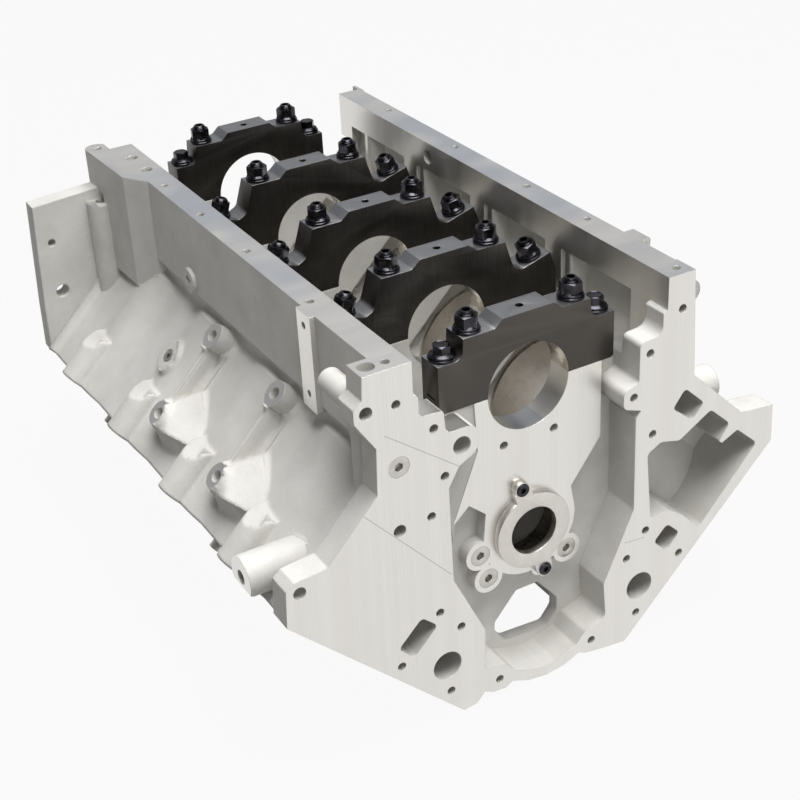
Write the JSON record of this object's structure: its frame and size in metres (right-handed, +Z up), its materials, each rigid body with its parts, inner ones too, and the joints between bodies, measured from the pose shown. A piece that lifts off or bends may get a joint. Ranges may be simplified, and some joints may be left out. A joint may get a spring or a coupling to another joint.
{
  "type": "engine block",
  "caption": "Bare aluminium V8 engine block, upside down, with steel main caps, studs and cylinder liners.",
  "frame": {"origin": "on the crankshaft axis, at the middle of the front main bearing", "axes": "+Y along the crankshaft from front to rear, +X across the engine, +Z up with the engine upside down, out of the oil pan side"},
  "size_m": [0.4524, 0.5205, 0.3257],
  "materials": {
    "cast_aluminium": "sand cast, machined faces bright",
    "black_steel": "black oxide",
    "black_fastener": "black oxide, oiled",
    "liner_iron": "honed",
    "bearing_metal": "satin",
    "retainer_steel": "ground",
    "plug_steel": "zinc flake"
  },
  "bodies": {
    "root": {"block_casting": "cast_aluminium", "cam_retainer_ring": "retainer_steel", "cam_retainer_screws": "black_fastener", "gallery_plugs": "plug_steel", "front_plug": "plug_steel", "drain_plugs": "plug_steel", "deck_dowels": "plug_steel", "bell_dowels": "plug_steel", "main_cap_1": "black_steel", "cam_bearing_1": "bearing_metal", "main_cap_2": "black_steel", "cam_bearing_2": "bearing_metal", "main_cap_3": "black_steel", "cam_bearing_3": "bearing_metal", "main_cap_4": "black_steel", "cam_bearing_4": "bearing_metal", "main_cap_5": "black_steel", "cam_bearing_5": "bearing_metal", "cylinder_sleeve_1_left": "liner_iron", "cylinder_sleeve_1_right": "liner_iron", "cylinder_sleeve_2_left": "liner_iron", "cylinder_sleeve_2_right": "liner_iron", "cylinder_sleeve_3_left": "liner_iron", "cylinder_sleeve_3_right": "liner_iron", "cylinder_sleeve_4_left": "liner_iron", "cylinder_sleeve_4_right": "liner_iron", "inner_main_studs": "black_fastener", "inner_main_washers": "black_fastener", "inner_main_nuts": "black_fastener", "outer_main_studs": "black_fastener", "outer_main_washers": "black_fastener", "outer_main_nuts": "black_fastener", "end_cap_bolts": "black_fastener", "end_cap_washers": "black_fastener"}
  },
  "joints": []
}
